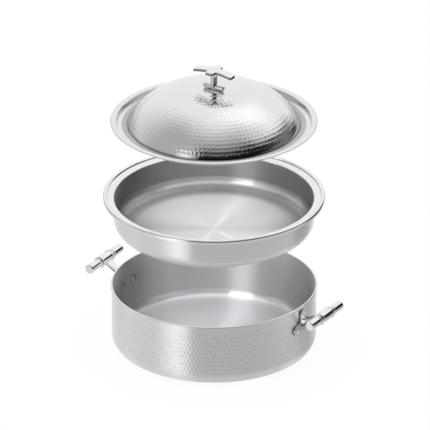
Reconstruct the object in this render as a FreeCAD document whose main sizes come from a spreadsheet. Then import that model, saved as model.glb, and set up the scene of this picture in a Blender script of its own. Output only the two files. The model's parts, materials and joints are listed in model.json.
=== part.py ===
"""Round buffet food warmer: a water pan with two side handles, a food pan that drops
into it and a domed lid with a cross-shaped knob.

Millimetres, +Z up.  The origin is the middle of the water pan's underside, and the two
side handles stand on the X axis.  At rest the three vessels hang apart, one above the
other, as they are lifted off for filling and cleaning.
"""
import FreeCAD, Part
import Sketcher
import math
import os
import re

SIZES = {
    # Water pan
    "base_radius": 180.0,
    "base_height": 117.0,
    "base_sheet": 1.5,
    "base_corner": 26.0,
    "base_bead": 2.0,
    # Food pan
    "pan_clearance": 2.5,
    "pan_sheet": 1.0,
    "pan_depth": 63.0,
    "pan_corner": 24.0,
    "pan_edge": 3.0,
    "pan_ledge": 9.5,
    "pan_ledge_rise": 1.5,
    "pan_bead": 3.75,
    "pan_skirt": 3.0,
    "pan_lift": 167.0,
    # Lid
    "lid_lap": 3.5,
    "lid_sheet": 1.2,
    "lid_flange": 10.0,
    "lid_gutter": 6.5,
    "gutter_slant": 2.5,
    "gutter_floor": 17.2,
    "dome_height": 60.5,
    "crown_tilt": 7.1,
    "skirt_slope": 63.0,
    "lid_lift": 145.0,
    # Knob
    "knob_height": 33.0,
    "knob_recess": 1.5,
    "cross_thickness": 5.5,
    "cross_arch": 160.0,
    "cross_reach": 39.0,
    "cross_width": 17.0,
    "cross_arm_reach": 19.0,
    "cross_arm_width": 16.0,
    "cross_tip": 4.0,
    "cross_crotch": 3.0,
    "cross_edge": 1.6,
    "post_radius": 6.0,
    "foot_radius": 4.75,
    "foot_length": 40.0,
    "screw_radius": 3.0,
    "screw_head": 5.0,
    "screw_head_height": 3.0,
    "screw_bite": 10.0,
    "washer_radius": 8.0,
    "washer_sheet": 1.2,
    # Side handles
    "handle_reach": 46.0,
    "handle_drop": 8.0,
    "bar_length": 104.0,
    "barrel_length": 34.0,
    "barrel_radius": 10.25,
    "barrel_lip": 0.8,
    "barrel_lip_width": 2.0,
    "grip_radius": 8.5,
    "grip_chamfer": 1.2,
    "grip_end": 8.0,
    "groove_start": 2.5,
    "groove_pitch": 2.6,
    "groove_width": 0.9,
    "groove_depth": 0.5,
    "rod_radius": 4.0,
    "arm_slope": 27.5,
    "arm_width": 14.0,
    "arm_thickness": 6.0,
    "arm_root": 15.0,
    "tenon_width": 10.0,
    "tenon_thickness": 4.0,
    # Handle brackets and rivets
    "plate_sheet": 4.0,
    "plate_waist": 40.0,
    "crest_gap": 3.0,
    "crest_radius": 8.0,
    "lobe_radius": 9.0,
    "plate_edge": 1.2,
    "arm_edge": 1.5,
    "rivet_drop": 41.0,
    "rivet_spacing": 37.0,
    "rivet_radius": 3.0,
    "rivet_head": 6.5,
    "rivet_clearance": 0.5,
    "rivet_tail": 5.5,
    "rivet_tail_height": 1.8,
    # Fits
    "fit_gap": 0.1,
    "seat_gap": 0.3,
}
GROOVE_COUNT = 3
TOUCH = 1e-3

doc = FreeCAD.newDocument("food_warmer")
sheet = doc.addObject("Spreadsheet::Sheet", "Sizes")
for row, (size_name, size) in enumerate(SIZES.items(), start=1):
    sheet.set(f"A{row}", size_name)
    sheet.set(f"B{row}", str(size))
    sheet.setAlias(f"B{row}", size_name)
doc.recompute()

nodes = []


def bound(text):
    """An expression in which every size name points at its cell of the sheet."""
    return re.sub(r"[a-z_]+", lambda word: f"Sizes.{word[0]}" if word[0] in SIZES else word[0], text)


def number(text):
    """The present value of an expression of sizes."""
    return float(sheet.evalExpression(text))


def tie(target, path, text):
    """Bind one property of an object to an expression of sizes."""
    target.setExpression(path, bound(text))


def origin_part(body, role):
    """One of the body's own origin planes or axes."""
    return next(item for item in body.Origin.OriginFeatures if item.Role == role)


def new_piece(label, x="0", y="0", z="0", turn=0.0, kept=True):
    """An empty body whose place is tied to the sizes, turned about its own upright axis."""
    body = doc.addObject("PartDesign::Body", label)
    body.Label = label
    upright = FreeCAD.Rotation(FreeCAD.Vector(0, 0, 1), turn)
    body.Placement = FreeCAD.Placement(FreeCAD.Vector(number(x), number(y), number(z)), upright)
    for axis, text in (("x", x), ("y", y), ("z", z)):
        if text != "0":
            tie(body, f"Placement.Base.{axis}", text)
    if kept:
        nodes.append(body)
    return body


def new_sketch(body, name, plane, swing=None):
    """A sketch on an origin plane; swing turns it about the plane's own upright axis."""
    sketch = body.newObject("Sketcher::SketchObject", f"{body.Name}_{name}")
    sketch.AttachmentSupport = [(origin_part(body, plane), "")]
    sketch.MapMode = "FlatFace"
    if swing is not None:
        turned = FreeCAD.Rotation(FreeCAD.Vector(0, 1, 0), 1.0)
        sketch.AttachmentOffset = FreeCAD.Placement(FreeCAD.Vector(), turned)
        tie(sketch, "AttachmentOffset.Rotation.Angle", swing)
    return sketch


def pin(sketch, curve, end, x, y):
    """Hold one point of a sketch at two expressions measured from the sketch's origin."""
    for kind, axis, text in (("DistanceX", -2, x), ("DistanceY", -1, y)):
        if text == "0":
            sketch.addConstraint(Sketcher.Constraint("PointOnObject", curve, end, axis))
        else:
            rule = Sketcher.Constraint(kind, -1, 1, curve, end, number(text))
            tie(sketch, f"Constraints[{sketch.addConstraint(rule)}]", text)


def arc_between(start, end, radius, side):
    """The shorter arc from start to end, its centre on the left (side 1) or right (-1)."""
    chord = end - start
    left = FreeCAD.Vector(-chord.y, chord.x, 0).normalize()
    offset = math.sqrt(max(radius ** 2 - chord.Length ** 2 / 4, 0))
    centre = (start + end) / 2 + left * (side * offset)
    first, last = (start, end) if side > 0 else (end, start)
    angles = [math.atan2(point.y - centre.y, point.x - centre.x) for point in (first, last)]
    if angles[1] < angles[0]:
        angles[1] += 2 * math.pi
    circle = Part.Circle(centre, FreeCAD.Vector(0, 0, 1), radius)
    return Part.ArcOfCircle(circle, *angles)


def draw_outline(sketch, points, arcs=None):
    """A closed outline through pinned points; arcs gives (radius, side) by starting point."""
    arcs = arcs or {}
    places = [FreeCAD.Vector(number(x), number(y), 0) for x, y in points]
    ends = []
    for index, start in enumerate(places):
        end = places[(index + 1) % len(places)]
        if index in arcs:
            radius, side = arcs[index]
            curve = sketch.addGeometry(arc_between(start, end, number(radius), side))
            rule = Sketcher.Constraint("Radius", curve, number(radius))
            tie(sketch, f"Constraints[{sketch.addConstraint(rule)}]", radius)
            ends.append((curve, 1, 2) if side > 0 else (curve, 2, 1))
        else:
            ends.append((sketch.addGeometry(Part.LineSegment(start, end)), 1, 2))
    for index, (curve, first, last) in enumerate(ends):
        follower, follower_first, _ = ends[(index + 1) % len(ends)]
        sketch.addConstraint(Sketcher.Constraint("Coincident", curve, last, follower, follower_first))
        pin(sketch, curve, first, *points[index])


def draw_circle(sketch, x, y, radius):
    """A circle with a pinned centre and a tied radius."""
    centre = FreeCAD.Vector(number(x), number(y), 0)
    curve = sketch.addGeometry(Part.Circle(centre, FreeCAD.Vector(0, 0, 1), number(radius)))
    rule = Sketcher.Constraint("Radius", curve, number(radius))
    tie(sketch, f"Constraints[{sketch.addConstraint(rule)}]", radius)
    pin(sketch, curve, 3, x, y)


def turn_profile(body, points, arcs=None, plane="XZ_Plane", axis="Z_Axis", sector=None):
    """A solid of revolution; sector limits it to an angle centred on the sketch plane."""
    sketch = new_sketch(body, "profile", plane)
    draw_outline(sketch, points, arcs)
    feature = body.newObject("PartDesign::Revolution", f"{body.Name}_turned")
    feature.Profile = sketch
    feature.ReferenceAxis = (origin_part(body, axis), [""])
    feature.Angle = 360.0
    if sector is not None:
        feature.Midplane = True
        tie(feature, "Angle", sector)
    body.Tip = feature
    doc.recompute()
    return feature


def pad_both_ways(body, sketch, width):
    """Material on both sides of the sketch plane, width in all."""
    feature = body.newObject("PartDesign::Pad", f"{sketch.Name}_pad")
    feature.Profile = sketch
    feature.SideType = "Symmetric"
    tie(feature, "Length", width)
    body.Tip = feature
    doc.recompute()


def cut(body, sketch, length, both_ways=True):
    """Take material away on both sides of the sketch, or along the sketch's normal only."""
    before = body.Shape.Volume
    feature = body.newObject("PartDesign::Pocket", f"{sketch.Name}_cut")
    feature.Profile = sketch
    if both_ways:
        feature.SideType = "Symmetric"
    else:
        feature.Reversed = True
    tie(feature, "Length", length)
    body.Tip = feature
    doc.recompute()
    if body.Shape.Volume >= before:
        raise RuntimeError(f"{sketch.Name} cuts nothing")


def soften(body, name, radius, chosen):
    """Round the edges whose middle point passes the test that is given."""
    before = body.Tip
    names = []
    for index, edge in enumerate(before.Shape.Edges, start=1):
        middle = edge.valueAt((edge.FirstParameter + edge.LastParameter) / 2)
        if chosen(middle):
            names.append(f"Edge{index}")
    if not names:
        raise RuntimeError(f"{body.Label} has no edge to round for {name}")
    feature = body.newObject("PartDesign::Fillet", f"{body.Name}_{name}")
    feature.Base = (before, names)
    tie(feature, "Radius", radius)
    body.Tip = feature
    doc.recompute()


# Shared radii and heights, as expressions of the sizes
BASE_INNER = "(base_radius - base_sheet)"
PAN_OUTER = f"({BASE_INNER} - pan_clearance)"
PAN_INNER = f"({PAN_OUTER} - pan_sheet)"
PAN_MOUTH = f"({PAN_INNER} + pan_edge)"
PAN_BEAD_INNER = f"({PAN_MOUTH} + pan_ledge)"
PAN_BEAD_MIDDLE = f"({PAN_BEAD_INNER} + pan_bead)"
PAN_LIP = f"({PAN_BEAD_INNER} + 2 * pan_bead)"
PAN_LEVEL = "(base_height + seat_gap + pan_sheet + pan_lift)"

LID_RADIUS = f"({PAN_MOUTH} + lid_lap)"
FLANGE_INNER = f"({LID_RADIUS} - lid_flange)"
GUTTER_OUTER = f"({FLANGE_INNER} - gutter_slant)"
DOME_BASE = f"({GUTTER_OUTER} - gutter_floor)"
LID_SEAT = "(pan_ledge_rise * lid_lap / pan_ledge + seat_gap + lid_sheet)"
LID_LEVEL = f"({PAN_LEVEL} + {LID_SEAT} + lid_lift)"
APEX_LEVEL = f"({LID_LEVEL} + dome_height)"

# The dome is a wide crown arc that runs into a tighter shoulder arc.  The two radii
# follow from the dome's height and foot and from the slopes where the arcs meet and end.
DOME_RISE = "(dome_height + lid_gutter)"
ARC_SPREAD = "(sin(skirt_slope) - sin(crown_tilt))"
ARC_DROP = "(cos(crown_tilt) - cos(skirt_slope))"
ARC_SHARE = f"(sin(crown_tilt) * {ARC_DROP} - {ARC_SPREAD} * (1 - cos(crown_tilt)))"
CROWN_RADIUS = f"(({DOME_BASE} * {ARC_DROP} - {DOME_RISE} * {ARC_SPREAD}) / {ARC_SHARE})"
SHOULDER_RADIUS = f"(({DOME_RISE} * sin(crown_tilt) - {DOME_BASE} * (1 - cos(crown_tilt))) / {ARC_SHARE})"
SHOULDER_X = f"(({CROWN_RADIUS} - {SHOULDER_RADIUS}) * sin(crown_tilt))"
SHOULDER_Z = (f"(dome_height - {CROWN_RADIUS}"
              f" + ({CROWN_RADIUS} - {SHOULDER_RADIUS}) * cos(crown_tilt))")

BAR_X = "(base_radius + handle_reach)"
BAR_Z = "(base_height - handle_drop)"
RIVET_Z = "(base_height - rivet_drop)"
RIVET_ANGLE = "asin(rivet_spacing / 2 / base_radius)"
PLATE_INNER = "(base_radius + fit_gap)"
PLATE_OUTER = f"({PLATE_INNER} + plate_sheet)"


def cut_rivet_holes(body):
    """Radial holes for the two rivets of a handle, through whatever the body has there."""
    for index, sign in enumerate(("", "-")):
        sketch = new_sketch(body, f"rivet_hole_{index}", "YZ_Plane", swing=f"{sign}{RIVET_ANGLE}")
        draw_circle(sketch, "0", RIVET_Z, "rivet_radius + fit_gap")
        cut(body, sketch, f"2 * ({PLATE_OUTER} + rivet_tail)")


def make_base_pan():
    """Deep drawn water pan: rounded foot corner, straight wall, rolled bead at the rim."""
    body = new_piece("base_pan")
    points = [
        ("0", "0"),
        ("base_radius - base_corner", "0"),
        ("base_radius", "base_corner"),
        ("base_radius", "base_height - 2 * base_bead"),
        ("base_radius + base_bead", "base_height - base_bead"),
        ("base_radius", "base_height"),
        (BASE_INNER, "base_height"),
        (BASE_INNER, "base_corner"),
        ("base_radius - base_corner", "base_sheet"),
        ("0", "base_sheet"),
    ]
    arcs = {
        1: ("base_corner", 1),
        3: ("base_bead", 1),
        4: ("base_bead", 1),
        7: ("base_corner - base_sheet", -1),
    }
    turn_profile(body, points, arcs)
    cut_rivet_holes(body)


def make_food_pan():
    """Food pan: rounded corner, thin wall, a ledge for the lid and a rolled lip round it."""
    body = new_piece("food_pan", z=PAN_LEVEL)
    points = [
        ("0", "-pan_depth"),
        (f"{PAN_OUTER} - pan_corner", "-pan_depth"),
        (PAN_OUTER, "pan_corner - pan_depth"),
        (PAN_OUTER, "-pan_edge"),
        (PAN_MOUTH, "-pan_sheet"),
        (f"{PAN_BEAD_INNER} + pan_sheet", "pan_ledge_rise - pan_sheet"),
        (f"{PAN_BEAD_INNER} + pan_sheet", "pan_ledge_rise"),
        (PAN_BEAD_MIDDLE, "pan_ledge_rise + pan_bead - pan_sheet"),
        (f"{PAN_LIP} - pan_sheet", "pan_ledge_rise"),
        (f"{PAN_LIP} - pan_sheet", "pan_ledge_rise - pan_skirt"),
        (PAN_LIP, "pan_ledge_rise - pan_skirt"),
        (PAN_LIP, "pan_ledge_rise"),
        (PAN_BEAD_MIDDLE, "pan_ledge_rise + pan_bead"),
        (PAN_BEAD_INNER, "pan_ledge_rise"),
        (PAN_MOUTH, "0"),
        (PAN_INNER, "-pan_edge"),
        (PAN_INNER, "pan_corner - pan_depth"),
        (f"{PAN_OUTER} - pan_corner", "pan_sheet - pan_depth"),
        ("0", "pan_sheet - pan_depth"),
    ]
    arcs = {
        1: ("pan_corner", 1),
        3: ("pan_edge - pan_sheet", -1),
        6: ("pan_bead - pan_sheet", -1),
        7: ("pan_bead - pan_sheet", -1),
        11: ("pan_bead", 1),
        12: ("pan_bead", 1),
        14: ("pan_edge", 1),
        16: ("pan_corner - pan_sheet", -1),
    }
    turn_profile(body, points, arcs)


def make_lid_shell():
    """Lid: flat flange, gutter that drops into the pan's mouth, and the two-arc dome."""
    body = new_piece("lid_shell", z=LID_LEVEL)
    inner_crown = f"({CROWN_RADIUS} - lid_sheet)"
    inner_shoulder = f"({SHOULDER_RADIUS} - lid_sheet)"
    crown_z = f"(dome_height - {CROWN_RADIUS})"
    floor_under = "(lid_gutter + lid_sheet)"
    inner_foot = f"sqrt({inner_shoulder}^2 - ({floor_under} + {SHOULDER_Z})^2)"
    points = [
        ("0", "dome_height - lid_sheet"),
        (f"{inner_crown} * sin(crown_tilt)", f"{crown_z} + {inner_crown} * cos(crown_tilt)"),
        (f"{SHOULDER_X} + {inner_foot}", f"-{floor_under}"),
        (f"{GUTTER_OUTER} + lid_sheet", f"-{floor_under}"),
        (f"{FLANGE_INNER} + lid_sheet", "-lid_sheet"),
        (LID_RADIUS, "-lid_sheet"),
        (LID_RADIUS, "0"),
        (FLANGE_INNER, "0"),
        (GUTTER_OUTER, "-lid_gutter"),
        (DOME_BASE, "-lid_gutter"),
        (f"{CROWN_RADIUS} * sin(crown_tilt)", f"{crown_z} + {CROWN_RADIUS} * cos(crown_tilt)"),
        ("0", "dome_height"),
    ]
    arcs = {
        0: (inner_crown, -1),
        1: (inner_shoulder, -1),
        9: (SHOULDER_RADIUS, 1),
        10: (CROWN_RADIUS, 1),
    }
    turn_profile(body, points, arcs)
    hole = new_sketch(body, "screw_hole", "XY_Plane")
    draw_circle(hole, "0", "0", "screw_radius + fit_gap")
    cut(body, hole, "2 * (dome_height + lid_sheet)")


def cross_outline():
    """Plan of the cross: long and short arms with rounded tips and rounded inner corners."""
    long_half, short_half = "cross_width / 2", "cross_arm_width / 2"
    quarter = [
        ("cross_reach", f"{long_half} - cross_tip"),
        ("cross_reach - cross_tip", long_half),
        (f"{short_half} + cross_crotch", long_half),
        (short_half, f"{long_half} + cross_crotch"),
        (short_half, "cross_arm_reach - cross_tip"),
        (f"{short_half} - cross_tip", "cross_arm_reach"),
    ]
    points = []
    for x_sign, y_sign in ((1, 1), (-1, 1), (-1, -1), (1, -1)):
        corner = [(f"{x_sign} * ({x})", f"{y_sign} * ({y})") for x, y in quarter]
        points += corner if x_sign == y_sign else corner[::-1]
    arcs = {}
    for start in range(0, len(points), 2):
        crotch = start % len(quarter) == 2
        arcs[start] = ("cross_crotch", -1) if crotch else ("cross_tip", 1)
    return points, arcs


def make_knob_grip():
    """Cast cross of the knob: an arched slab cut to the cross, with a socket for the post."""
    body = new_piece("knob_grip", z=APEX_LEVEL)
    inner_arch = "(cross_arch - cross_thickness)"
    arch_z = "(knob_height + cross_thickness - cross_arch)"
    under_tip = f"{arch_z} + sqrt({inner_arch}^2 - cross_reach^2)"
    over_tip = f"{arch_z} + sqrt(cross_arch^2 - cross_reach^2)"
    slab = new_sketch(body, "slab", "XZ_Plane")
    slab_points = [
        ("-cross_reach", under_tip),
        ("cross_reach", under_tip),
        ("cross_reach", over_tip),
        ("-cross_reach", over_tip),
    ]
    draw_outline(slab, slab_points, {0: (inner_arch, -1), 2: ("cross_arch", 1)})
    pad_both_ways(body, slab, "2 * cross_arm_reach")
    plan = new_sketch(body, "plan", "XY_Plane")
    far_x, far_y = "2 * cross_reach", "2 * cross_arm_reach"
    blank = [(f"-{far_x}", f"-{far_y}"), (far_x, f"-{far_y}"), (far_x, far_y), (f"-{far_x}", far_y)]
    draw_outline(plan, blank)
    draw_outline(plan, *cross_outline())
    cut(body, plan, "2 * (knob_height + 2 * cross_thickness)")
    socket = new_sketch(body, "socket", "XY_Plane")
    draw_circle(socket, "0", "0", "post_radius + fit_gap")
    cut(body, socket, "knob_height + knob_recess", both_ways=False)
    arch, arch_middle = number("cross_arch"), number(arch_z)
    soften(body, "edge", "cross_edge",
           lambda spot: abs(math.hypot(spot.x, spot.z - arch_middle) - arch) < TOUCH)


def make_knob_post():
    """Round post that straddles the foot rod, is bored for the screw and carries the cross."""
    body = new_piece("knob_post", z=APEX_LEVEL)
    foot_z = "foot_radius + fit_gap"
    top = "knob_height + knob_recess"
    turn_profile(body, [("0", foot_z), ("post_radius", foot_z), ("post_radius", top), ("0", top)])
    saddle = new_sketch(body, "saddle", "YZ_Plane")
    draw_circle(saddle, "0", foot_z, "foot_radius + fit_gap / 2")
    cut(body, saddle, "4 * post_radius")
    bore = new_sketch(body, "bore", "XY_Plane")
    draw_circle(bore, "0", "0", "screw_radius + fit_gap / 2")
    cut(body, bore, "2 * foot_radius + screw_bite + fit_gap", both_ways=False)


def make_knob_foot():
    """Cross rod that lies on the crown under the post, drilled for the screw."""
    body = new_piece("knob_foot", z=APEX_LEVEL)
    section = new_sketch(body, "section", "YZ_Plane")
    draw_circle(section, "0", "foot_radius + fit_gap", "foot_radius")
    pad_both_ways(body, section, "foot_length")
    hole = new_sketch(body, "screw_hole", "XY_Plane")
    draw_circle(hole, "0", "0", "screw_radius + fit_gap")
    cut(body, hole, "8 * foot_radius")


WASHER_TOP = f"(-lid_sheet - washer_radius^2 / {CROWN_RADIUS} - fit_gap / 2)"


def make_knob_screw_and_washer():
    """Screw through washer, crown and foot rod into the post, with its head inside the lid."""
    washer_under = f"({WASHER_TOP} - washer_sheet)"
    washer = new_piece("knob_washer", z=APEX_LEVEL)
    hole = "screw_radius + fit_gap"
    turn_profile(washer, [
        (hole, washer_under),
        ("washer_radius", washer_under),
        ("washer_radius", WASHER_TOP),
        (hole, WASHER_TOP),
    ])
    screw = new_piece("knob_screw", z=APEX_LEVEL)
    head_under = f"{washer_under} - screw_head_height"
    tip = "2 * foot_radius + screw_bite"
    turn_profile(screw, [
        ("0", head_under),
        ("screw_head", head_under),
        ("screw_head", washer_under),
        ("screw_radius", washer_under),
        ("screw_radius", tip),
        ("0", tip),
    ])


def along_arm(distance, offset, x="0", z="0"):
    """A point at a distance back from (x, z) down the arm, and at an offset above its line."""
    return (f"{x} - ({distance}) * cos(arm_slope) - ({offset}) * sin(arm_slope)",
            f"{z} - ({distance}) * sin(arm_slope) + ({offset}) * cos(arm_slope)")


TENON_NEAR = "(rod_radius + 2 * fit_gap + base_sheet)"


def make_bracket(side, turn):
    """Cast bracket: a trefoil plate bent to the wall and an arm that rises to the barrel."""
    body = new_piece(f"bracket_{side}", turn=turn)
    half = "rivet_spacing / 2"
    lobe_top, lobe_under = f"{RIVET_Z} + lobe_radius", f"{RIVET_Z} - lobe_radius"
    crest_z = "(base_height - 2 * base_bead - crest_gap - crest_radius)"
    crest_top = f"{crest_z} + crest_radius"
    neck = f"({half} - crest_radius)"
    turn_profile(body, [
        (PLATE_INNER, lobe_under),
        (PLATE_OUTER, lobe_under),
        (PLATE_OUTER, crest_top),
        (PLATE_INNER, crest_top),
    ], sector=f"4 * asin(({half} + lobe_radius) / base_radius)")
    plate = new_sketch(body, "plate", "YZ_Plane")
    wide = "2 * rivet_spacing"
    low, high = f"{lobe_under} - rivet_spacing", f"{crest_top} + rivet_spacing"
    draw_outline(plate, [(f"-{wide}", low), (wide, low), (wide, high), (f"-{wide}", high)])
    draw_outline(plate, [
        (half, lobe_under),
        (f"{half} + lobe_radius", RIVET_Z),
        (half, lobe_top),
        ("crest_radius", f"{lobe_top} + {neck}"),
        ("crest_radius", crest_z),
        ("0", crest_top),
        ("-crest_radius", crest_z),
        ("-crest_radius", f"{lobe_top} + {neck}"),
        (f"-{half}", lobe_top),
        (f"-({half} + lobe_radius)", RIVET_Z),
        (f"-{half}", lobe_under),
    ], {
        0: ("lobe_radius", 1),
        1: ("lobe_radius", 1),
        2: (neck, -1),
        4: ("crest_radius", 1),
        5: ("crest_radius", 1),
        7: (neck, -1),
        8: ("lobe_radius", 1),
        9: ("lobe_radius", 1),
        10: ("plate_waist", -1),
    })
    cut(body, plate, f"4 * {PLATE_OUTER}")
    front = number(PLATE_OUTER)
    soften(body, "plate_edge", "plate_edge", lambda spot: abs(math.hypot(spot.x, spot.y) - front) < TOUCH)
    root_x = f"{PLATE_INNER} + plate_sheet / 2"
    root_z = f"({BAR_Z} - ({BAR_X} - {root_x}) * tan(arm_slope))"
    arm = new_sketch(body, "arm", "XZ_Plane")
    draw_outline(arm, [
        (root_x, f"{root_z} - arm_root / 2"),
        along_arm("barrel_radius / 2", "-arm_thickness / 2", BAR_X, BAR_Z),
        along_arm("barrel_radius / 2", "arm_thickness / 2", BAR_X, BAR_Z),
        (root_x, f"{root_z} + arm_root / 2"),
    ])
    pad_both_ways(body, arm, "arm_width")
    saddle = new_sketch(body, "saddle", "XZ_Plane")
    draw_circle(saddle, BAR_X, BAR_Z, "barrel_radius + fit_gap / 2")
    cut(body, saddle, "2 * arm_width")
    cheek, bar_x, bar_z = number("arm_width / 2"), number(BAR_X), number(BAR_Z)
    clear_of_bar, clear_of_plate = number("barrel_radius + barrel_lip"), number(f"{PLATE_OUTER} + plate_edge")
    soften(body, "arm_edge", "arm_edge", lambda spot: (
        abs(abs(spot.y) - cheek) < TOUCH and spot.x > clear_of_plate
        and math.hypot(spot.x - bar_x, spot.z - bar_z) > clear_of_bar))
    tenon = new_sketch(body, "tenon", "XZ_Plane")
    draw_outline(tenon, [
        along_arm("2 * barrel_radius", "-tenon_thickness / 2", BAR_X, BAR_Z),
        along_arm(TENON_NEAR, "-tenon_thickness / 2", BAR_X, BAR_Z),
        along_arm(TENON_NEAR, "tenon_thickness / 2", BAR_X, BAR_Z),
        along_arm("2 * barrel_radius", "tenon_thickness / 2", BAR_X, BAR_Z),
    ])
    pad_both_ways(body, tenon, "tenon_width")
    cut_rivet_holes(body)


def make_barrel(side, sign, turn):
    """Turned middle sleeve of a handle, lipped at both ends, with a mortise for the arm."""
    body = new_piece(f"barrel_{side}", x=f"{sign}{BAR_X}", z=BAR_Z, turn=turn)
    bore = "rod_radius + fit_gap"
    lip, end = "barrel_radius + barrel_lip", "barrel_length / 2"
    shoulder = f"({end} - barrel_lip_width)"
    turn_profile(body, [
        (bore, f"-{end}"),
        (lip, f"-{end}"),
        (lip, f"-{shoulder}"),
        ("barrel_radius", f"-{shoulder}"),
        ("barrel_radius", shoulder),
        (lip, shoulder),
        (lip, end),
        (bore, end),
    ], plane="XY_Plane", axis="Y_Axis")
    mortise = new_sketch(body, "mortise", "XZ_Plane")
    cheek = "(tenon_thickness / 2 + fit_gap)"
    draw_outline(mortise, [
        along_arm("2 * barrel_radius", f"-{cheek}"),
        along_arm(f"{TENON_NEAR} - fit_gap", f"-{cheek}"),
        along_arm(f"{TENON_NEAR} - fit_gap", cheek),
        along_arm("2 * barrel_radius", cheek),
    ])
    cut(body, mortise, "tenon_width + 2 * fit_gap")


def make_handle_grip(side, end_name, sign, turn):
    """Turned grip beside the barrel: ring grooves, chamfered flat end, blind bore."""
    body = new_piece(f"grip_{side}_{end_name}", x=f"{sign}{BAR_X}", z=BAR_Z, turn=turn)
    bore = "rod_radius + fit_gap"
    near, far = "barrel_length / 2", "bar_length / 2"
    points = [(bore, near), ("grip_radius", near)]
    for ring in range(GROOVE_COUNT):
        start = f"{near} + groove_start + {ring} * groove_pitch"
        points += [
            ("grip_radius", start),
            ("grip_radius - groove_depth", start),
            ("grip_radius - groove_depth", f"{start} + groove_width"),
            ("grip_radius", f"{start} + groove_width"),
        ]
    points += [
        ("grip_radius", f"{far} - grip_chamfer"),
        ("grip_radius - grip_chamfer", far),
        ("0", far),
        ("0", f"{far} - grip_end"),
        (bore, f"{far} - grip_end"),
    ]
    turn_profile(body, points, plane="XY_Plane", axis="Y_Axis")


def make_tie_rod(side, sign):
    """Plain rod through the barrel and into both grips."""
    half = "(bar_length / 2 - grip_end - fit_gap)"
    rod = doc.addObject("Part::Cylinder", f"tie_rod_{side}")
    rod.Label = f"tie_rod_{side}"
    rod.Placement.Rotation = FreeCAD.Rotation(FreeCAD.Vector(1, 0, 0), -90)
    tie(rod, "Radius", "rod_radius")
    tie(rod, "Height", f"2 * {half}")
    tie(rod, "Placement.Base.x", f"{sign}{BAR_X}")
    tie(rod, "Placement.Base.y", f"-{half}")
    tie(rod, "Placement.Base.z", BAR_Z)
    nodes.append(rod)


def dome_radius(reach, height):
    """Radius of a low dome from its half width and its height."""
    return f"(({reach})^2 + ({height})^2) / (2 * ({height}))"


def make_rivets(side, turn):
    """Two radial rivets: low heads inside, clear of the food pan, and tails on the bracket."""
    head_seat = f"(sqrt({BASE_INNER}^2 - rivet_head^2) - fit_gap / 2)"
    head_top = f"({PAN_OUTER} + rivet_clearance)"
    tail_seat = f"({PLATE_OUTER} + fit_gap / 2)"
    points = [
        (head_top, "0"),
        (f"{tail_seat} + rivet_tail_height", "0"),
        (tail_seat, "rivet_tail"),
        (tail_seat, "rivet_radius"),
        (head_seat, "rivet_radius"),
        (head_seat, "rivet_head"),
    ]
    arcs = {
        1: (dome_radius("rivet_tail", "rivet_tail_height"), 1),
        5: (dome_radius("rivet_head", f"{head_seat} - {head_top}"), 1),
    }
    pair = []
    for index, sign in enumerate(("", "-")):
        body = new_piece(f"rivet_{side}_{index}", z=RIVET_Z, turn=1.0, kept=False)
        tie(body, "Placement.Rotation.Angle", f"{turn} + {sign}{RIVET_ANGLE} / 1 deg")
        turn_profile(body, points, arcs, plane="XY_Plane", axis="X_Axis")
        pair.append(body)
    group = doc.addObject("Part::Compound", f"rivets_{side}")
    group.Label = f"rivets_{side}"
    group.Links = pair
    nodes.append(group)


make_base_pan()
make_food_pan()
make_lid_shell()
make_knob_grip()
make_knob_post()
make_knob_foot()
make_knob_screw_and_washer()
for side, sign, turn in (("right", "", 0), ("left", "-", 180)):
    make_bracket(side, turn)
    make_barrel(side, sign, turn)
    make_handle_grip(side, "back", sign, 0)
    make_handle_grip(side, "front", sign, 180)
    make_tie_rod(side, sign)
    make_rivets(side, turn)

doc.recompute()
for item in doc.Objects:
    if {"Invalid", "Error"} & set(item.State):
        raise RuntimeError(f"{item.Label} is not made: {item.State}")

os.makedirs("parts", exist_ok=True)
for node in nodes:
    if node.Shape.isNull() or not node.Shape.isValid():
        raise RuntimeError(f"{node.Label} has no valid shape")
    node.Shape.exportStep(f"parts/{node.Label}.step")
    print(node.Label, len(node.Shape.Solids), round(node.Shape.Volume, 1))
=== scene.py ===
"""Looks of the round food warmer: hammered lid and water pan, spun food pan, chromed handles.

Metres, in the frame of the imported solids: +Z up, the side handles on the X axis.
"""
import json
import math

import bpy
import numpy as np
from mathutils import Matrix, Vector


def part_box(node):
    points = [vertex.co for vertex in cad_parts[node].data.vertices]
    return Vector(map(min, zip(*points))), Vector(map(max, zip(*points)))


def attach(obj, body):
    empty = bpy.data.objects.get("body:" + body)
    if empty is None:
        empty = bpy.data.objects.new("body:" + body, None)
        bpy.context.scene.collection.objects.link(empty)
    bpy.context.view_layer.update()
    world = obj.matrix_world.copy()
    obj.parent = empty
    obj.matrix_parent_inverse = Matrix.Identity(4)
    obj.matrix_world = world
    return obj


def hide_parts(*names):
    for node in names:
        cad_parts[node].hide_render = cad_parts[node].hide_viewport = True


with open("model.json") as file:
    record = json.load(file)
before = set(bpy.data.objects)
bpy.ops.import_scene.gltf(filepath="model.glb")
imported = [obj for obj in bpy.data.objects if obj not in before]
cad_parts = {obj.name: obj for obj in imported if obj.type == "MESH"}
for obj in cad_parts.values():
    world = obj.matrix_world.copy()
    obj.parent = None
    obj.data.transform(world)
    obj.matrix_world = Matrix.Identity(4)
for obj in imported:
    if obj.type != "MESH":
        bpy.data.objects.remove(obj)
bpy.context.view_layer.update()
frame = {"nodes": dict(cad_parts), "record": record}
MM = 0.001
TURN = 2 * math.pi


def corner(node, end):
    """One corner of a solid's box as an array: end 0 is the lowest, 1 the highest."""
    return np.array(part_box(node)[end])


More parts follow.
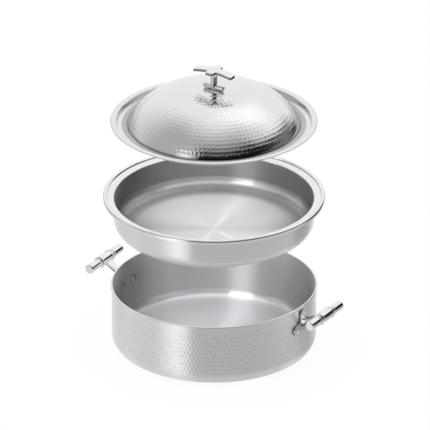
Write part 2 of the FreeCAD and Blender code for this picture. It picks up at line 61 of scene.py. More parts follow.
# Sizes read from the solids
BASE_RIM = corner("base_pan", 1)[2]
BASE_EDGE = corner("base_pan", 1)[0]
PAN_UNDER, PAN_TOP = corner("food_pan", 0)[2], corner("food_pan", 1)[2]
PAN_LIP = corner("food_pan", 1)[0]
LID_UNDER, LID_APEX = corner("lid_shell", 0)[2], corner("lid_shell", 1)[2]
LID_EDGE = corner("lid_shell", 1)[0]
BAR = (corner("barrel_right", 0) + corner("barrel_right", 1)) / 2
BAR_HALF = corner("grip_right_back", 1)[1]
BARREL_HALF = corner("barrel_right", 1)[1]
BARREL_LIP = (corner("barrel_right", 1)[2] - corner("barrel_right", 0)[2]) / 2
GRIP_RADIUS = (corner("grip_right_back", 1)[2] - corner("grip_right_back", 0)[2]) / 2
KNOB_TOP = corner("knob_grip", 1)[2]
CROSS_REACH, CROSS_ARM_REACH = corner("knob_grip", 1)[:2]
POST_RADIUS = corner("knob_post", 1)[0]
POST_TOP = corner("knob_post", 1)[2]
FOOT_HALF, FOOT_RADIUS = corner("knob_foot", 1)[:2]
FOOT_LEVEL = (corner("knob_foot", 0)[2] + corner("knob_foot", 1)[2]) / 2
PLATE_LOW, PLATE_HIGH = corner("bracket_right", 0), corner("bracket_right", 1)
LOBE_REACH = PLATE_HIGH[1]

# Sheet and corner sizes that a box does not give
BASE_SHEET, BASE_CORNER, BASE_BEAD = 1.5 * MM, 26 * MM, 2 * MM
BASE_WALL = BASE_EDGE - BASE_BEAD
BASE_INNER = BASE_WALL - BASE_SHEET
PAN_SHEET, PAN_CORNER, PAN_EDGE = 1 * MM, 24 * MM, 3 * MM
PAN_LEDGE, PAN_LEDGE_RISE, PAN_BEAD, PAN_SKIRT = 9.5 * MM, 1.5 * MM, 3.75 * MM, 3 * MM
PAN_BEAD_INNER = PAN_LIP - 2 * PAN_BEAD
PAN_MOUTH = PAN_BEAD_INNER - PAN_LEDGE
PAN_INNER = PAN_MOUTH - PAN_EDGE
LID_SHEET, LID_FLANGE, LID_GUTTER = 1.2 * MM, 10 * MM, 6.5 * MM
GUTTER_SLANT, GUTTER_FLOOR = 2.5 * MM, 17.2 * MM
FLANGE_INNER = LID_EDGE - LID_FLANGE
GUTTER_OUTER = FLANGE_INNER - GUTTER_SLANT
DOME_FOOT = GUTTER_OUTER - GUTTER_FLOOR
CROWN_TILT, SKIRT_SLOPE = math.radians(7.1), math.radians(63)
CROSS_WIDTH, CROSS_ARM_WIDTH, CROSS_TIP, CROSS_CROTCH = 17 * MM, 16 * MM, 4 * MM, 3 * MM
CROSS_THICKNESS, CROSS_ARCH, CROSS_EDGE = 5.5 * MM, 160 * MM, 1.8 * MM
CROSS_LOW_EDGE = 0.45 * CROSS_EDGE
POST_EDGE, FOOT_EDGE = 0.6 * MM, 1.2 * MM
BARREL_RIM, BARREL_RIM_WIDTH = 0.8 * MM, 2 * MM
GROOVE_START, GROOVE_PITCH, GROOVE_WIDTH, GROOVE_DEPTH = 2.3 * MM, 2.6 * MM, 1.3 * MM, 0.7 * MM
GROOVE_COUNT = 3
GRIP_CHAMFER, GRIP_NECK_STEP, GRIP_NECK_LENGTH = 1.2 * MM, 1.2 * MM, 0.8 * MM
PLATE_INNER, PLATE_SHEET, PLATE_EDGE = BASE_WALL + 0.1 * MM, 4 * MM, 1.3 * MM
CREST_RADIUS, LOBE_RADIUS, PLATE_WAIST = 8 * MM, 9 * MM, 40 * MM
PLATE_CREST = BASE_RIM - 2 * BASE_BEAD - 3 * MM
PLATE_MIDDLE_RISE = 4 * MM
ARM_SLOPE, ARM_HALF, ARM_THICKNESS, ARM_ROOT = math.radians(27.5), 7 * MM, 6 * MM, 15 * MM
ARM_FLARE, ARM_FLARE_FALL = 1.5 * MM, 3.2
RIVET_OUT = LOBE_REACH - LOBE_RADIUS
RIVET_LEVEL = PLATE_LOW[2] + LOBE_RADIUS
RIVET_RADIUS, RIVET_HEAD, RIVET_TAIL, RIVET_TAIL_HEIGHT = 3 * MM, 6.5 * MM, 5.5 * MM, 1.8 * MM
RIVET_HEAD_TOP = PAN_INNER + PAN_SHEET + 0.5 * MM

# Hammer marks: number in a turn, spacing of the rows, depth, radius and stray as shares of a cell,
# and the plain margin beyond the last row
BASE_MARK_COUNT, BASE_MARK_PITCH, BASE_MARK_DEPTH, BASE_MARK_REACH = 170, 7.6 * MM, 0.12 * MM, 0.36
LID_MARK_PITCH, LID_MARK_DEPTH, LID_MARK_REACH, LID_MARK_STRAY = 7.2 * MM, 0.28 * MM, 0.5, 0.12
BASE_MARK_MARGIN, LID_MARK_MARGIN = 15 * MM, 12 * MM

# Faces round each turned piece, and rows round a cast edge
BASE_COLUMNS, PAN_COLUMNS, LID_COLUMNS, ROD_COLUMNS, RIVET_COLUMNS = 850, 256, 720, 48, 32
EDGE_ROWS = 6


# Mesh building


def new_piece(name, shells, body, nodes, material, crease=35):
    """One mesh of closed shells that rides on a body and stands for CAD nodes."""
    first, faces = 0, []
    for points, quads, triangles in shells:
        faces += (quads + first).tolist() + (triangles + first).tolist()
        first += len(points)
    mesh = bpy.data.meshes.new(name)
    mesh.from_pydata(np.concatenate([shell[0] for shell in shells]), [], faces)
    mesh.update()
    mesh.polygons.foreach_set("use_smooth", np.ones(len(mesh.polygons), bool))
    mesh.set_sharp_from_angle(angle=math.radians(crease))
    mesh.materials.append(material)
    piece = bpy.data.objects.new(name, mesh)
    bpy.context.scene.collection.objects.link(piece)
    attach(piece, body)
    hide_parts(*nodes)


def closed_rings(rings, first_pole, last_pole):
    """Shell of stacked rings (rows, columns, 3), wound leftwards, with a pole at each end.

    It comes as points, quads and triangles.  Each quad joins two neighbours of a ring to the same
    two of the next ring, and a fan of triangles joins the outermost rings to the poles.
    """
    rows, columns, _ = rings.shape
    row, column = np.meshgrid(np.arange(rows - 1), np.arange(columns), indexing="ij")
    after = (column + 1) % columns
    low, high = row * columns, (row + 1) * columns
    quads = np.stack([low + column, low + after, high + after, high + column], -1).reshape(-1, 4)
    here, beside = column[0], after[0]
    last = (rows - 1) * columns
    start = np.stack([np.full(columns, rows * columns), beside, here], -1)
    finish = np.stack([np.full(columns, rows * columns + 1), last + here, last + beside], -1)
    points = np.concatenate([rings.reshape(-1, 3), [first_pole, last_pole]])
    return points, quads, np.concatenate([start, finish])


def line(start, end, count):
    """Evenly spaced points from start up to, but without, end."""
    share = np.linspace(0, 1, count, endpoint=False)[:, None]
    return np.asarray(start) * (1 - share) + np.asarray(end) * share


def arc(centre, radius, begin, finish, count):
    """Points on a circle from one angle up to, but without, another, in degrees."""
    angle = np.radians(np.linspace(begin, finish, count, endpoint=False))
    return np.asarray(centre) + radius * np.stack([np.cos(angle), np.sin(angle)], -1)


def right_normals(way):
    """Unit vectors on the right of a way, given as steps along it."""
    way = way / np.linalg.norm(way, axis=1, keepdims=True)
    return np.stack([way[:, 1], -way[:, 0]], -1)


def inward_normals(outline):
    """Unit vectors into a closed outline that is wound leftwards."""
    return -right_normals(np.roll(outline, -1, 0) - np.roll(outline, 1, 0))


def spun(profile, columns, offset=0.0):
    """Shell of a profile (radius, height) turned about Z, from the axis round to the axis.

    offset pushes each point of the turned rings out of the metal, along the profile's normal.
    """
    angle = np.arange(columns) * TURN / columns
    inner = profile[1:-1]
    normal = right_normals(np.gradient(inner, axis=0))
    radius = inner[:, :1] + offset * normal[:, :1]
    height = inner[:, 1:] + offset * normal[:, 1:] + 0 * angle
    rings = np.stack([radius * np.cos(angle), radius * np.sin(angle), height], -1)
    return closed_rings(rings, (0, 0, profile[0][1]), (0, 0, profile[-1][1]))


def laid(shell, axis, centre, turn=0.0):
    """A shell turned about Z, laid with its axis along X (1) or Y (2), swung about Z and placed."""
    points = np.roll(shell[0], axis, axis=1)
    c, s = math.cos(turn), math.sin(turn)
    swing = np.array([[c, -s, 0], [s, c, 0], [0, 0, 1]])
    return points @ swing.T + np.asarray(centre), *shell[1:]


HASH_FIRST, HASH_SECOND, HASH_SPREAD = 12.9898, 78.233, 43758.5453


def hash_unit(first, second):
    """A repeatable value from 0 to 1 for each pair of whole numbers: the tail of a spread sine."""
    wave = np.sin(first * HASH_FIRST + second * HASH_SECOND) * HASH_SPREAD
    return wave - np.floor(wave)


def hammer_marks(along, round_share, counts, pitch, depth, reach, stray, seed):
    """Depth of the hammer marks: shallow round dents in staggered rows, each a little different.

    along is the distance down the profile and round_share the share of a turn.  A dent is a
    paraboloid, reach is its radius as a share of its cell, its depth varies from dent to dent,
    and its middle strays from the cell's middle.
    """
    rows = along / pitch
    row = np.floor(rows)
    count = counts[row.astype(int)][:, None]
    turns = round_share[None, :] * count + 0.5 * (row[:, None] % 2)
    cell = np.floor(turns) % count
    spread = hash_unit(row[:, None] + seed, cell)
    aside = (hash_unit(cell, row[:, None] + seed) - 0.5) * stray
    across = turns - np.floor(turns) - 0.5 + aside
    down = (rows - row - 0.5)[:, None] + (spread - 0.5) * stray
    bowl = np.clip(1 - (across ** 2 + down ** 2) / reach ** 2, 0, 1)
    return -depth * (0.8 + 0.4 * spread) * bowl


def fade(value, start, end, width):
    """1 between start and end, falling smoothly to 0 over a width outside them."""
    rise = np.clip((value - start) / width + 1, 0, 1)
    fall = np.clip((end - value) / width + 1, 0, 1)
    both = rise * fall
    return both * both * (3 - 2 * both)


def path_length(profile):
    """Distance along a profile at each of its points."""
    steps = np.linalg.norm(np.diff(profile, axis=0), axis=1)
    return np.concatenate([[0], np.cumsum(steps)])


# Materials

SHEET_SPLIT = 0.2 * MM
COOL_TINT = (0.98, 0.99, 1.005)


class Wire:
    """A node's output in arithmetic: each operation adds one Math node."""

    def __init__(self, paint, socket):
        self.paint = paint
        self.socket = socket

    def math(self, operation, *values):
        """One Math node on the given values."""
        return self.paint.node("ShaderNodeMath", {"operation": operation}, dict(enumerate(values)))

    def __add__(self, other):
        return self.math("ADD", self, other)

    __radd__ = __add__

    def __sub__(self, other):
        return self.math("SUBTRACT", self, other)

    def __rsub__(self, other):
        return self.math("SUBTRACT", other, self)

    def __mul__(self, other):
        return self.math("MULTIPLY", self, other)

    __rmul__ = __mul__

    def __truediv__(self, other):
        return self.math("DIVIDE", self, other)

    def __pow__(self, other):
        return self.math("POWER", self, other)

    def above(self, edge, width):
        """0 below an edge, 1 above it, with an even step of the given width."""
        ends = {0: self, 1: edge - width / 2, 2: edge + width / 2}
        return self.paint.node("ShaderNodeMapRange", inputs=ends)


class Paint:
    """A material under construction."""

    def __init__(self, name):
        self.material = bpy.data.materials.new(name)
        self.material.use_nodes = True
        self.tree = self.material.node_tree
        self.shader = self.tree.nodes["Principled BSDF"]

    def node(self, kind, settings=None, inputs=None, out=0):
        """Any node: its settings first, then its inputs as values or wires; gives one output."""
        made = self.tree.nodes.new(kind)
        for key, value in (settings or {}).items():
            setattr(made, key, value)
        for key, value in (inputs or {}).items():
            self.feed(made.inputs[key], value)
        return Wire(self, made.outputs[out])

    def feed(self, socket, value):
        """Set a socket to a value or link a wire to it."""
        if isinstance(value, Wire):
            self.tree.links.new(value.socket, socket)
        else:
            socket.default_value = value

    def spot(self):
        """The Object coordinate, in metres."""
        return self.node("ShaderNodeTexCoord", out="Object")

    def place(self, axis):
        """One Object coordinate."""
        return self.node("ShaderNodeSeparateXYZ", inputs={0: self.spot()}, out=axis)

    def radius(self):
        """Distance from the upright axis."""
        x, y = self.place("X"), self.place("Y")
        return (x * x + y * y) ** 0.5

    def noise(self, vector, scale, detail=2.0, rough=0.5):
        """Smooth noise, from 0 to 1."""
        wanted = {"Vector": vector, "Scale": scale, "Detail": detail, "Roughness": rough}
        return self.node("ShaderNodeTexNoise", inputs=wanted)

    def turning_lines(self, fineness):
        """Fine lines left by spinning: noise that only changes across the rings."""
        ring = self.node("ShaderNodeCombineXYZ", inputs={"X": self.radius(), "Y": self.place("Z")})
        return self.noise(ring, fineness, detail=3.0, rough=0.6)

    def small_dents(self):
        """Small hammer dents in staggered rows round the water pan's outer wall.

        A dent is a paraboloid in the middle of its cell; a noise per cell varies its depth.
        """
        height = self.place("Z")
        rows = height / BASE_MARK_PITCH
        row = rows.math("FLOOR", rows)
        bearing = height.math("ARCTAN2", self.place("Y"), self.place("X"))
        turns = bearing * (BASE_MARK_COUNT / TURN) + 0.5 * row.math("FLOORED_MODULO", row, 2.0)
        cell = turns.math("FLOOR", turns)
        place = self.node("ShaderNodeCombineXYZ", inputs={"X": cell, "Y": row})
        chance = self.node("ShaderNodeTexWhiteNoise", inputs={"Vector": place})
        across, up = turns - cell - 0.5, rows - row - 0.5
        far = (across * across + up * up) ** 0.5 / BASE_MARK_REACH
        bowl = (1 - far * far).above(0.5, 1.0)
        margin, fading = BASE_MARK_MARGIN, 8 * MM
        band = height.above(margin, fading) * (BASE_RIM - height).above(margin, fading)
        outside = self.radius().above(BASE_WALL - BASE_SHEET / 2, SHEET_SPLIT)
        return bowl * (0.2 + 0.8 * chance) * band * outside

    def vessel(self, wall, corner_radius, sheet, under):
        """Two masks of a round vessel: 1 on its inside, and the rise from wall (0) to floor (1).

        A point's distance from the corner's middle circle, left out where the point is nearer to
        the axis or higher up, is shorter inside than outside; its upright share is the rise.
        """
        outwards = self.radius() - (wall - corner_radius)
        outwards = outwards.math("MAXIMUM", outwards, 0.0)
        downwards = under + corner_radius - self.place("Z")
        downwards = downwards.math("MAXIMUM", downwards, 0.0)
        far = (outwards * outwards + downwards * downwards) ** 0.5
        return (corner_radius - sheet / 2 - far).above(0.0, SHEET_SPLIT), downwards / far

    def grey(self, shade):
        """A very slightly cool grey from a value."""
        wanted = {channel: shade * tint for channel, tint in enumerate(COOL_TINT)}
        return self.node("ShaderNodeCombineColor", inputs=wanted)

    def bump(self, height, strength, distance):
        """The normal tilted by a height, where 1 is as high as the distance."""
        wanted = {"Height": height, "Strength": strength, "Distance": distance}
        return self.node("ShaderNodeBump", inputs=wanted)

    def finish(self, **sockets):
        """Set the surface's sockets, named with _ for a space."""
        for name, value in sockets.items():
            self.feed(self.shader.inputs[name.replace("_", " ")], value)
        return self.material


def spun_steel():
    """Food pan: satin spun inside and out, with a brighter polished ledge and lip, painted shade inside
    and a painted highlight on its floor.
    """
    paint = Paint("spun_steel")
    lines = paint.turning_lines(fineness=900.0)
    clouds = paint.noise(paint.spot(), scale=14.0)
    polish = paint.radius().above(PAN_MOUTH - PAN_EDGE / 2, 2 * MM)
    inside, rise = paint.vessel(PAN_INNER + PAN_SHEET, PAN_CORNER, PAN_SHEET, PAN_UNDER)
    wall = inside * (1 - rise.above(0.15, 0.2))
    painted_fold_shade = inside * rise.above(0.64, 0.16)
    floor = inside * (PAN_INNER - PAN_CORNER - paint.radius()).above(0.0, 30 * MM)
    rough = (0.18 + 0.08 * lines + 0.06 * clouds + 0.12 * wall + 0.16 * floor) * (1 - 0.6 * polish)
    # Painted shade darkens the inner wall and the lower half of the inner corner; painted light brightens
    # the floor.
    shade = 0.72 + 0.06 * lines + 0.05 * clouds + 0.06 * polish - 0.32 * wall - 0.40 * painted_fold_shade + 0.61 * floor
    shade = shade.math("MINIMUM", shade, 1.0)
    return paint.finish(
        Base_Color=paint.grey(shade), Metallic=1.0, Roughness=rough, Anisotropic=1.0,
        Anisotropic_Rotation=0.25, Normal=paint.bump(lines, strength=0.12, distance=0.15 * MM))


def satin_steel():
    """Water pan: satin drawn steel with fine turning lines, soft clouding and dents on the wall, with
    painted shade inside and in the dents.
    """
    paint = Paint("satin_steel")
    lines = paint.turning_lines(fineness=800.0)
    clouds = paint.noise(paint.spot(), scale=11.0)
    inside, rise = paint.vessel(BASE_WALL, BASE_CORNER, BASE_SHEET, 0.0)
    wall = inside * (1 - rise.above(0.15, 0.2))
    bend = inside * rise.above(0.1, 0.2) * (1 - rise.above(0.64, 0.2))
    floor = inside * rise.above(0.7, 0.2)
    dents = paint.small_dents()
    rough = 0.25 + 0.08 * lines + 0.06 * clouds + 0.08 * wall - 0.09 * bend + 0.10 * floor
    # Painted shade: the inside is darker than the outside, and each dent is darkened.
    shade = 0.86 + 0.06 * lines + 0.05 * clouds - 0.20 * dents - 0.05 * bend - 0.08 * floor - 0.16 * wall
    relief = paint.bump(0.1 * lines - dents, strength=1.0, distance=0.15 * MM)
    return paint.finish(
        Base_Color=paint.grey(shade), Metallic=1.0, Roughness=rough, Anisotropic=1.0,
        Anisotropic_Rotation=0.25, Normal=relief)


def hammered_polish():
    """Lid: mirror polish with the faint haze of buffing, and painted shade in the gutter, along the
    dome's foot and along the edge.
    """
    paint = Paint("hammered_polish")
    haze = paint.noise(paint.spot(), scale=60.0, detail=4.0)
    lines = paint.turning_lines(fineness=600.0)
    rough = 0.05 + 0.04 * haze + 0.03 * lines
    reach = paint.radius()
    # Painted shade: dark rings on the gutter's slant, over the inner gutter, along the dome's foot and at
    # the outer edge.
    step = reach.above(GUTTER_OUTER, 1 * MM) * (1 - reach.above(FLANGE_INNER, 1 * MM))
    painted_fold_shade = reach.above(DOME_FOOT - 1 * MM, 2 * MM) * (1 - reach.above(DOME_FOOT + 10 * MM, 3 * MM))
    painted_seam_shade = reach.above(DOME_FOOT - 1 * MM, 1 * MM) * (1 - reach.above(DOME_FOOT + 1.5 * MM, 1 * MM))
    edge = reach.above(LID_EDGE - 1 * MM, 1.2 * MM)
    shade = 0.75 + 0.06 * haze - 0.30 * step - 0.33 * painted_fold_shade - 0.2 * painted_seam_shade - 0.30 * edge
    return paint.finish(Base_Color=paint.grey(shade), Metallic=1.0, Roughness=rough)


def chrome():
    """Bright plated castings: clear mirror, with a little haze from handling."""
    paint = Paint("chrome")
    haze = paint.noise(paint.spot(), scale=120.0, detail=4.0)
    shade, rough = 0.80 + 0.05 * haze, 0.04 + 0.07 * haze
    return paint.finish(Base_Color=paint.grey(shade), Metallic=1.0, Roughness=rough)


def fastener_steel():
    """Rivets, screw, washer and tie rods: plain turned steel, with painted shade where a rivet's head is
    seated.
    """
    paint = Paint("fastener_steel")
    grain = paint.noise(paint.spot(), scale=700.0, detail=3.0)
    reach = paint.radius()
    near_wall = reach.above(BASE_INNER - 1.2 * MM, 0.8 * MM)
    seat = near_wall * (1 - reach.above(BASE_INNER + 0.5 * MM, 0.5 * MM))
    # Painted shade in a ring where a rivet's head meets the wall.
    shade = (0.76 + 0.08 * grain) * (1 - 0.85 * seat)
    return paint.finish(Base_Color=paint.grey(shade), Metallic=1.0, Roughness=0.05 + 0.06 * grain)


def cross_chrome():
    """Plated cross: bright on its arched top, rougher down its cast sides, which carry painted shade."""
    paint = Paint("cross_chrome")
    haze = paint.noise(paint.spot(), scale=120.0, detail=4.0)
    along = paint.place("X")
    depth = KNOB_TOP - along * along / (2 * CROSS_ARCH) - paint.place("Z")
    side = depth.above(1.4 * MM, 1.2 * MM) * (1 - depth.above(CROSS_THICKNESS - 0.3 * MM, 0.4 * MM))
    # Painted shade darkens the sides; the same mask roughens them.
    shade = (0.80 + 0.05 * haze) * (1 - 0.72 * side)
    rough = 0.04 + 0.07 * haze + 0.12 * side
    return paint.finish(Base_Color=paint.grey(shade), Metallic=1.0, Roughness=rough)


def cast_chrome():
    """Plated brackets: bright on top, rougher and with painted shade where the plate meets the wall and
    under the arm.
    """
    paint = Paint("cast_chrome")
    haze = paint.noise(paint.spot(), scale=120.0, detail=4.0)
    reach = paint.radius()
    # Painted shade where the plate meets the wall and under the arm; the same mask roughens the plating
    # there.
    painted_joint_shade = 1 - reach.above(PLATE_INNER + 0.5 * PLATE_SHEET, 0.8 * PLATE_SHEET)
    arm_level = BAR[2] - (BAR[0] - reach) * math.tan(ARM_SLOPE)
    below_arm = (arm_level - paint.place("Z")).above(1 * MM, 3 * MM)
    under = below_arm * reach.above(PLATE_INNER + PLATE_SHEET, 1 * MM)
    dull_and_painted_shade = painted_joint_shade.math("MAXIMUM", painted_joint_shade, under)
    shade = (0.80 + 0.05 * haze) * (1 - 0.8 * dull_and_painted_shade)
    rough = 0.05 + 0.07 * haze + 0.1 * dull_and_painted_shade
    return paint.finish(Base_Color=paint.grey(shade), Metallic=1.0, Roughness=rough)


SPUN, SATIN, POLISH = spun_steel(), satin_steel(), hammered_polish()
CHROME, CROSS, CAST, FASTENER = chrome(), cross_chrome(), cast_chrome(), fastener_steel()
FINISH_OF_SLOT = {
    "spun_steel": SPUN, "satin_steel": SATIN, "hammered_polish": POLISH,
    "chrome": CHROME, "fastener_steel": FASTENER,
}
for subpart in frame["record"]["subparts"]:
    node_mesh = frame["nodes"][subpart["node"]].data
    node_mesh.materials.clear()
    node_mesh.materials.append(FINISH_OF_SLOT[subpart["material_slot"]])


# Vessels


def make_water_pan():
    """Water pan: foot, corner arc, hammered wall, rolled bead, plain inside."""
    wall, inner, rim = BASE_WALL, BASE_INNER, BASE_RIM
    foot, bead, lip = wall - BASE_CORNER, rim - BASE_BEAD, 0.5 * MM
    outside = np.concatenate([
        line((0, 0), (foot, 0), 2),
        arc((foot, BASE_CORNER), BASE_CORNER, -90, 0, 18),
        line((wall, BASE_CORNER), (wall, bead - BASE_BEAD), 58),
    ])
    inside = np.concatenate([
        arc((wall, bead), BASE_BEAD, -90, 90, 6),
        line((wall, rim), (inner + lip, rim), 1),
        arc((inner + lip, rim - lip), lip, 90, 180, 2),
        line((inner, rim - lip), (inner, BASE_CORNER), 2),
        arc((foot, BASE_CORNER), BASE_CORNER - BASE_SHEET, 0, -90, 9),
        line((foot, BASE_SHEET), (0, BASE_SHEET), 3),
        [(0, BASE_SHEET)],
    ])
    profile = np.concatenate([outside, inside])
    height = profile[1:-1, 1]
    counts = np.full(int(rim / BASE_MARK_PITCH) + 2, BASE_MARK_COUNT)
    share = np.arange(BASE_COLUMNS) / BASE_COLUMNS
    marks = hammer_marks(height, share, counts, BASE_MARK_PITCH, BASE_MARK_DEPTH,
                         reach=BASE_MARK_REACH, stray=0.0, seed=3)
    outer = np.arange(len(height)) < len(outside) - 1
    window = outer * fade(height, BASE_MARK_MARGIN, rim - BASE_MARK_MARGIN, 4 * MM)
    shell = spun(profile, BASE_COLUMNS, marks * window[:, None])
    new_piece("water_pan", [shell], "base", ["base_pan"], SATIN)


def make_food_pan():
    """Food pan: foot, corner arc, wall, ledge, rolled lip, and the same back inside."""
    lip, bead_in, mouth, inner = PAN_LIP, PAN_BEAD_INNER, PAN_MOUTH, PAN_INNER
    bead, wall, under = bead_in + PAN_BEAD, inner + PAN_SHEET, PAN_UNDER
    bead_z = PAN_TOP - PAN_BEAD
    level = bead_z - PAN_LEDGE_RISE
    foot = wall - PAN_CORNER
    profile = np.concatenate([
        line((0, under), (foot, under), 6),
        arc((foot, under + PAN_CORNER), PAN_CORNER, -90, 0, 18),
        line((wall, under + PAN_CORNER), (wall, level - PAN_EDGE), 8),
        arc((mouth, level - PAN_EDGE), PAN_EDGE - PAN_SHEET, 180, 90, 6),
        line((mouth, level - PAN_SHEET), (bead_in + PAN_SHEET, bead_z - PAN_SHEET), 4),
        line((bead_in + PAN_SHEET, bead_z - PAN_SHEET), (bead_in + PAN_SHEET, bead_z), 2),
        arc((bead, bead_z), PAN_BEAD - PAN_SHEET, 180, 0, 12),
        line((lip - PAN_SHEET, bead_z), (lip - PAN_SHEET, bead_z - PAN_SKIRT), 3),
        line((lip - PAN_SHEET, bead_z - PAN_SKIRT), (lip, bead_z - PAN_SKIRT), 2),
        line((lip, bead_z - PAN_SKIRT), (lip, bead_z), 3),
        arc((bead, bead_z), PAN_BEAD, 0, 180, 18),
        line((bead_in, bead_z), (mouth, level), 5),
        arc((mouth, level - PAN_EDGE), PAN_EDGE, 90, 180, 8),
        line((inner, level - PAN_EDGE), (inner, under + PAN_CORNER), 8),
        arc((foot, under + PAN_CORNER), PAN_CORNER - PAN_SHEET, 0, -90, 18),
        line((foot, under + PAN_SHEET), (0, under + PAN_SHEET), 10),
        [(0, under + PAN_SHEET)],
    ])
    new_piece("food_pan_spun", [spun(profile, PAN_COLUMNS)], "pan", ["food_pan"], SPUN)


def make_lid():
    """Lid: flange, gutter and the two-arc dome, whose outside carries the hammer marks.

    The crown and shoulder radii follow from the dome's height and foot and from the slopes
    where the two arcs meet and end, as two linear equations.
    """
    level = LID_UNDER + LID_SHEET + LID_GUTTER
    flange_in, gutter_out, foot = FLANGE_INNER, GUTTER_OUTER, DOME_FOOT
    rise = LID_APEX - level + LID_GUTTER
    spread = math.sin(SKIRT_SLOPE) - math.sin(CROWN_TILT)
    drop = math.cos(CROWN_TILT) - math.cos(SKIRT_SLOPE)
    share = math.sin(CROWN_TILT) * drop - spread * (1 - math.cos(CROWN_TILT))
    crown = (foot * drop - rise * spread) / share
    shoulder = (rise * math.sin(CROWN_TILT) - foot * (1 - math.cos(CROWN_TILT))) / share
    middle = np.array([0, LID_APEX - crown])
    shoulder_middle = middle + (crown - shoulder) * np.array([math.sin(CROWN_TILT), math.cos(CROWN_TILT)])
    tilt, slope = 90 - math.degrees(CROWN_TILT), 90 - math.degrees(SKIRT_SLOPE)
    gutter, edge = level - LID_GUTTER, LID_SHEET / 2
    dome = np.concatenate([
        arc(shoulder_middle, shoulder, slope, tilt, 74),
        arc(middle, crown, tilt, 90, 36),
    ])
    profile = np.concatenate([
        arc(middle, crown - LID_SHEET, 90, tilt, 5),
        arc(shoulder_middle, shoulder - LID_SHEET, tilt, slope, 9),
        line((foot - LID_SHEET, LID_UNDER), (gutter_out + LID_SHEET, LID_UNDER), 2),
        line((gutter_out + LID_SHEET, LID_UNDER), (flange_in + LID_SHEET, level - LID_SHEET), 1),
        line((flange_in + LID_SHEET, level - LID_SHEET), (LID_EDGE - edge, level - LID_SHEET), 1),
        arc((LID_EDGE - edge, level - edge), edge, -90, 90, 4),
        line((LID_EDGE - edge, level), (flange_in, level), 2),
        line((flange_in, level), (gutter_out, gutter), 2),
        line((gutter_out, gutter), (foot, gutter), 3),
        dome,
        [(0, LID_APEX)],
    ])
    rings = profile[1:-1]
    along = path_length(rings)
    begin = along[len(rings) - len(dome)]
    run = np.clip(along - begin, 0, None)
    row_middle = (np.arange(int(run.max() / LID_MARK_PITCH) + 2) + 0.5) * LID_MARK_PITCH
    row_radius = np.interp(row_middle, run, rings[:, 0])
    counts = np.maximum(np.round(TURN * row_radius / LID_MARK_PITCH), 3)
    share_round = np.arange(LID_COLUMNS) / LID_COLUMNS
    marks = hammer_marks(run, share_round, counts, LID_MARK_PITCH, LID_MARK_DEPTH,
                         reach=LID_MARK_REACH, stray=LID_MARK_STRAY, seed=11)
    window = fade(run, LID_MARK_PITCH, run.max() - LID_MARK_MARGIN, 3 * MM)
    shell = spun(profile, LID_COLUMNS, marks * window[:, None])
    new_piece("lid_hammered", [shell], "lid", ["lid_shell"], POLISH)


# Knob


def rounded_rod(radius, half, edge):
    """Profile of a solid rod from one end to the other, with rounded edges."""
    return np.concatenate([
        [(0, -half)],
        arc((radius - edge, edge - half), edge, -90, 0, 5),
        line((radius, edge - half), (radius, half - edge), 3),
        arc((radius - edge, half - edge), edge, 0, 90, 5),
        [(radius - edge, half), (0, half)],
    ])


def cross_outline():
    """Plan of the cross, wound leftwards: a quarter, its mirror image, and both turned round."""
    long_half, short_half = CROSS_WIDTH / 2, CROSS_ARM_WIDTH / 2
    reach, arm = CROSS_REACH, CROSS_ARM_REACH
    quarter = np.concatenate([
        line((reach, 0), (reach, long_half - CROSS_TIP), 3),
        arc((reach - CROSS_TIP, long_half - CROSS_TIP), CROSS_TIP, 0, 90, 6),
        line((reach - CROSS_TIP, long_half), (short_half + CROSS_CROTCH, long_half), 8),
        arc((short_half + CROSS_CROTCH, long_half + CROSS_CROTCH), CROSS_CROTCH, 270, 180, 6),
        line((short_half, long_half + CROSS_CROTCH), (short_half, arm - CROSS_TIP), 3),
        arc((short_half - CROSS_TIP, arm - CROSS_TIP), CROSS_TIP, 0, 90, 6),
        line((short_half - CROSS_TIP, arm), (0, arm), 3),
    ])
    mirrored = np.concatenate([quarter[1:], [(0, arm)]])[::-1] * (-1, 1)
    half = np.concatenate([quarter, mirrored])
    return np.concatenate([half, -half])


def make_knob_cross():
    """Cast cross: its outline drawn in and lifted round both edges, then shrunk to the middle.

    Heights are measured up from the arched underside, a circle's arc along the long arms.
    """
    outline = cross_outline()
    inward = inward_normals(outline)
    shrink = np.array([0.15, 0.4, 0.65, 0.85])
    level_rows = np.ones(len(shrink))
    bend = np.radians(np.linspace(0, 90, EDGE_ROWS))
    low, high, thick = CROSS_LOW_EDGE, CROSS_EDGE, CROSS_THICKNESS
    drawn_in = np.concatenate([low * level_rows, low * (1 - np.sin(bend)),
                               high * (1 - np.cos(bend)), high * level_rows])
    size = np.concatenate([shrink, np.ones(2 * EDGE_ROWS), shrink[::-1]])
    lift = np.concatenate([0 * level_rows, low * (1 - np.cos(bend)),
                           thick - high * (1 - np.sin(bend)), thick * level_rows])
    flat = (outline[None] + inward[None] * drawn_in[:, None, None]) * size[:, None, None]
    fall = CROSS_ARCH - np.sqrt(CROSS_ARCH ** 2 - flat[..., 0] ** 2)
    level = KNOB_TOP - thick - fall + lift[:, None]
    rings = np.concatenate([flat, level[..., None]], -1)
    shell = closed_rings(rings, (0, 0, KNOB_TOP - thick), (0, 0, KNOB_TOP))
    new_piece("knob_cross", [shell], "lid", ["knob_grip"], CROSS)


def make_knob_stem():
    """Post under the cross, and the rod on which it stands."""
    low = FOOT_LEVEL
    post = spun(rounded_rod(POST_RADIUS, (POST_TOP - low) / 2, POST_EDGE), ROD_COLUMNS)
    post = laid(post, 0, (0, 0, (POST_TOP + low) / 2))
    new_piece("knob_stem", [post], "lid", ["knob_post"], CHROME)
    rod = spun(rounded_rod(FOOT_RADIUS, FOOT_HALF, FOOT_EDGE), ROD_COLUMNS)
    new_piece("knob_rod", [laid(rod, 1, (0, 0, low))], "lid", ["knob_foot"], CHROME)


# Side handles


